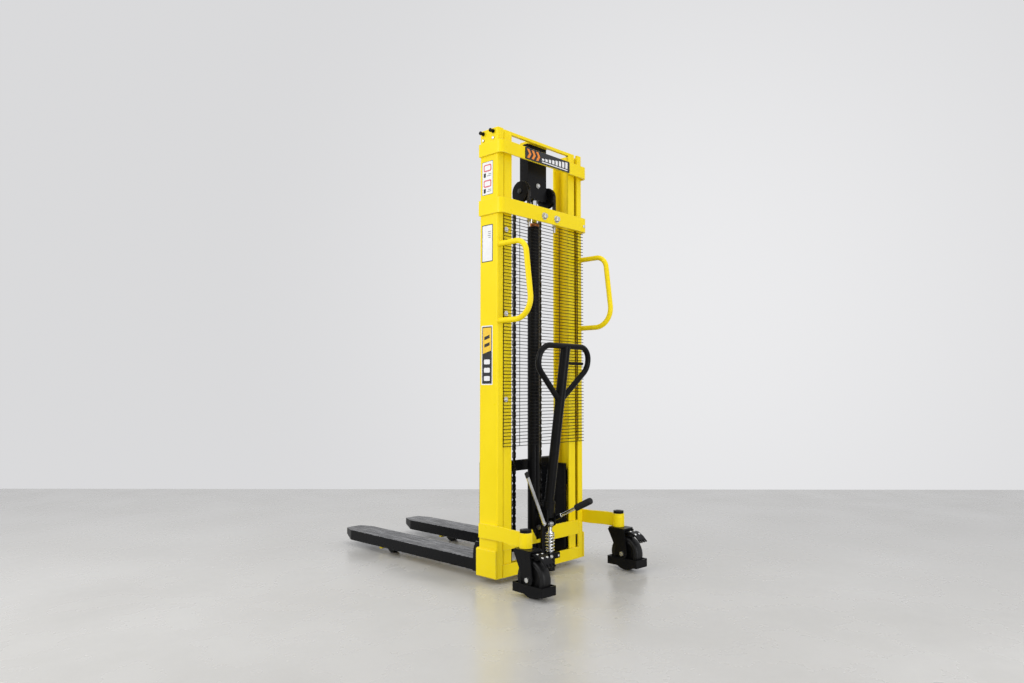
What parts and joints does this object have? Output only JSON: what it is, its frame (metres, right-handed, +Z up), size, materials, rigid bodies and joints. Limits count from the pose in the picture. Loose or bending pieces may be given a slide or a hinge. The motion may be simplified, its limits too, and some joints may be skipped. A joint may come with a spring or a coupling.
{
  "type": "hand hydraulic fork stacker",
  "caption": "Manual hydraulic fork stacker: telescoping double mast, chain lifted forks on a sliding carriage, pump drawbar, foot pedal and braked swivel casters.",
  "frame": {"origin": "centre of the bounding box in X and Y, on the floor", "axes": "+Z up, +Y forward the way the forks point, +X to the operator's right when facing the mast from behind"},
  "size_m": [0.7718, 1.6054, 2.08],
  "materials": {
    "yellow_paint": "gloss yellow enamel",
    "black_paint": "satin black enamel",
    "zinc": "bright zinc plate",
    "chrome": "hard chrome",
    "rubber_grip": "moulded black rubber",
    "nylon_tyre": "hard black tread",
    "bronze": "machined bronze",
    "sign_face": "printed film",
    "chain_steel": "oiled dark steel"
  },
  "bodies": {
    "chassis": {"outer_rail_left": "yellow_paint", "outer_rail_right": "yellow_paint", "top_band": "yellow_paint", "second_band": "yellow_paint", "mast_base": "yellow_paint", "upper_crossmember": "yellow_paint", "boot_left": "yellow_paint", "boot_right": "yellow_paint", "leg_left": "yellow_paint", "leg_right": "yellow_paint", "caster_arm_left": "yellow_paint", "caster_arm_right": "yellow_paint", "cylinder_tube": "black_paint", "gland_ring": "bronze", "pump_body": "black_paint", "mesh_guard": "black_paint", "grab_handle_left": "yellow_paint", "grab_handle_right": "yellow_paint", "mast_fixings": "zinc", "sign_plate": "sign_face", "side_labels": "sign_face", "chain_anchors": "zinc", "rear_chains": "chain_steel", "pump_spring": "zinc"},
    "inner_mast": {"inner_rail_left": "yellow_paint", "inner_rail_right": "yellow_paint", "inner_top_plate": "yellow_paint", "inner_lower_tie": "yellow_paint", "pulley_bracket": "black_paint", "pulley_axle": "zinc", "lift_ram": "chrome", "front_chains": "chain_steel", "chain_wraps": "chain_steel"},
    "carriage": {"carriage_frame": "black_paint", "fork_left": "black_paint", "fork_right": "black_paint"},
    "pump_lever": {"pump_yoke": "black_paint", "hinge_pin": "zinc", "drawbar": "black_paint", "foot_pedal": "chrome", "pedal_grip": "rubber_grip"},
    "plunger": {"pump_plunger": "chrome"},
    "finger_lever": {"control_lever": "black_paint"},
    "release": {"release_lever": "zinc"},
    "pulley_left": {"pulley_left": "black_paint"},
    "mast_roller_left": {"mast_roller_left": "zinc"},
    "load_roller_left": {"load_roller_left": "nylon_tyre"},
    "caster_left": {"caster_fork_left": "black_paint"},
    "wheel_left": {"caster_wheel_left": "nylon_tyre"},
    "brake_left": {"caster_brake_left": "black_paint"},
    "carriage_roller_lower_left": {"carriage_roller_lower_left": "zinc"},
    "carriage_roller_upper_left": {"carriage_roller_upper_left": "zinc"},
    "pulley_right": {"pulley_right": "black_paint"},
    "mast_roller_right": {"mast_roller_right": "zinc"},
    "load_roller_right": {"load_roller_right": "nylon_tyre"},
    "caster_right": {"caster_fork_right": "black_paint"},
    "wheel_right": {"caster_wheel_right": "nylon_tyre"},
    "brake_right": {"caster_brake_right": "black_paint"},
    "carriage_roller_lower_right": {"carriage_roller_lower_right": "zinc"},
    "carriage_roller_upper_right": {"carriage_roller_upper_right": "zinc"}
  },
  "joints": [
    {"name": "mast_lift", "type": "slide", "parent": "chassis", "child": "inner_mast", "axis": [0, 0, 1], "range_m": [0, 1.4575], "deforming": ["rear_chains"]},
    {"name": "carriage_lift", "type": "slide", "parent": "inner_mast", "child": "carriage", "axis": [0, 0, 1], "range_m": [0, 1.4575], "deforming": ["front_chains"]},
    {"name": "pulley_turn_left", "type": "hinge", "parent": "inner_mast", "child": "pulley_left", "pos_m": [-0.09081, -0.40032, 1.825], "axis": [1, 0, 0], "range_deg": [0, 1740.76]},
    {"name": "mast_roller_turn_left", "type": "hinge", "parent": "inner_mast", "child": "mast_roller_left", "pos_m": [-0.28331, -0.39382, 0.12], "axis": [1, 0, 0], "range_deg": [0, 1816.4]},
    {"name": "carriage_roller_lower_turn_left", "type": "hinge", "parent": "carriage", "child": "carriage_roller_lower_left", "pos_m": [-0.23481, -0.39382, 0.11], "axis": [1, 0, 0], "range_deg": [0, 2088.71]},
    {"name": "carriage_roller_upper_turn_left", "type": "hinge", "parent": "carriage", "child": "carriage_roller_upper_left", "pos_m": [-0.23481, -0.39382, 0.43], "axis": [-1, 0, 0], "range_deg": [0, 2088.71]},
    {"name": "pulley_turn_right", "type": "hinge", "parent": "inner_mast", "child": "pulley_right", "pos_m": [0.09719, -0.40032, 1.825], "axis": [1, 0, 0], "range_deg": [0, 1740.76]},
    {"name": "mast_roller_turn_right", "type": "hinge", "parent": "inner_mast", "child": "mast_roller_right", "pos_m": [0.28969, -0.39382, 0.12], "axis": [1, 0, 0], "range_deg": [0, 1816.4]},
    {"name": "carriage_roller_lower_turn_right", "type": "hinge", "parent": "carriage", "child": "carriage_roller_lower_right", "pos_m": [0.24119, -0.39382, 0.11], "axis": [1, 0, 0], "range_deg": [0, 2088.71]},
    {"name": "carriage_roller_upper_turn_right", "type": "hinge", "parent": "carriage", "child": "carriage_roller_upper_right", "pos_m": [0.24119, -0.39382, 0.43], "axis": [-1, 0, 0], "range_deg": [0, 2088.71]},
    {"name": "pump_stroke", "type": "hinge", "parent": "chassis", "child": "pump_lever", "pos_m": [0.00319, -0.46088, 0.219], "axis": [1, 0, 0], "range_deg": [0, 50], "stiffness_Nm_per_rad": 60, "springref_deg": -34.38},
    {"name": "plunger_press", "type": "slide", "parent": "chassis", "child": "plunger", "axis": [0, 0, -1], "range_m": [0, 0.03247], "deforming": ["pump_spring"]},
    {"name": "finger_lever_tilt", "type": "hinge", "parent": "pump_lever", "child": "finger_lever", "pos_m": [0.01519, -0.58528, 0.99115], "axis": [0, -0.9898, -0.1426], "range_deg": [-10, 14], "stiffness_Nm_per_rad": 8},
    {"name": "release_lever_tilt", "type": "hinge", "parent": "chassis", "child": "release", "pos_m": [-0.06081, -0.51532, 0.247], "axis": [0, -1, 0], "range_deg": [0, 18], "stiffness_Nm_per_rad": 5, "springref_deg": -11.46},
    {"name": "swivel_left", "type": "hinge", "parent": "chassis", "child": "caster_left", "pos_m": [-0.33481, -0.65032, 0.23], "axis": [0, 0, 1], "continuous": true},
    {"name": "wheel_turn_left", "type": "hinge", "parent": "caster_left", "child": "wheel_left", "pos_m": [-0.33786, -0.70022, 0.08], "axis": [0.9981, -0.061, 0], "continuous": true},
    {"name": "brake_pedal_left", "type": "hinge", "parent": "caster_left", "child": "brake_left", "pos_m": [-0.33737, -0.69224, 0.176], "axis": [0.9981, -0.061, 0], "range_deg": [0, 5]},
    {"name": "load_roller_turn_left", "type": "hinge", "parent": "chassis", "child": "load_roller_left", "pos_m": [-0.20681, 0.41568, 0.037], "axis": [1, 0, 0], "continuous": true},
    {"name": "swivel_right", "type": "hinge", "parent": "chassis", "child": "caster_right", "pos_m": [0.34119, -0.65032, 0.23], "axis": [0, 0, 1], "continuous": true},
    {"name": "wheel_turn_right", "type": "hinge", "parent": "caster_right", "child": "wheel_right", "pos_m": [0.33857, -0.70025, 0.08], "axis": [0.9986, -0.0523, 0], "continuous": true},
    {"name": "brake_pedal_right", "type": "hinge", "parent": "caster_right", "child": "brake_right", "pos_m": [0.33899, -0.69226, 0.176], "axis": [0.9986, -0.0523, 0], "range_deg": [0, 5]},
    {"name": "load_roller_turn_right", "type": "hinge", "parent": "chassis", "child": "load_roller_right", "pos_m": [0.21319, 0.41568, 0.037], "axis": [1, 0, 0], "continuous": true}
  ],
  "couplings": [
    {"joint": "carriage_lift", "follows": "mast_lift", "ratio": 1},
    {"joint": "pulley_turn_left", "follows": "mast_lift", "rad_per_m": 20.833},
    {"joint": "mast_roller_turn_left", "follows": "mast_lift", "rad_per_m": 21.739},
    {"joint": "carriage_roller_lower_turn_left", "follows": "mast_lift", "rad_per_m": 25},
    {"joint": "carriage_roller_upper_turn_left", "follows": "mast_lift", "rad_per_m": 25},
    {"joint": "pulley_turn_right", "follows": "mast_lift", "rad_per_m": 20.833},
    {"joint": "mast_roller_turn_right", "follows": "mast_lift", "rad_per_m": 21.739},
    {"joint": "carriage_roller_lower_turn_right", "follows": "mast_lift", "rad_per_m": 25},
    {"joint": "carriage_roller_upper_turn_right", "follows": "mast_lift", "rad_per_m": 25},
    {"joint": "plunger_press", "follows": "pump_stroke", "m_per_rad": 0.0372}
  ]
}
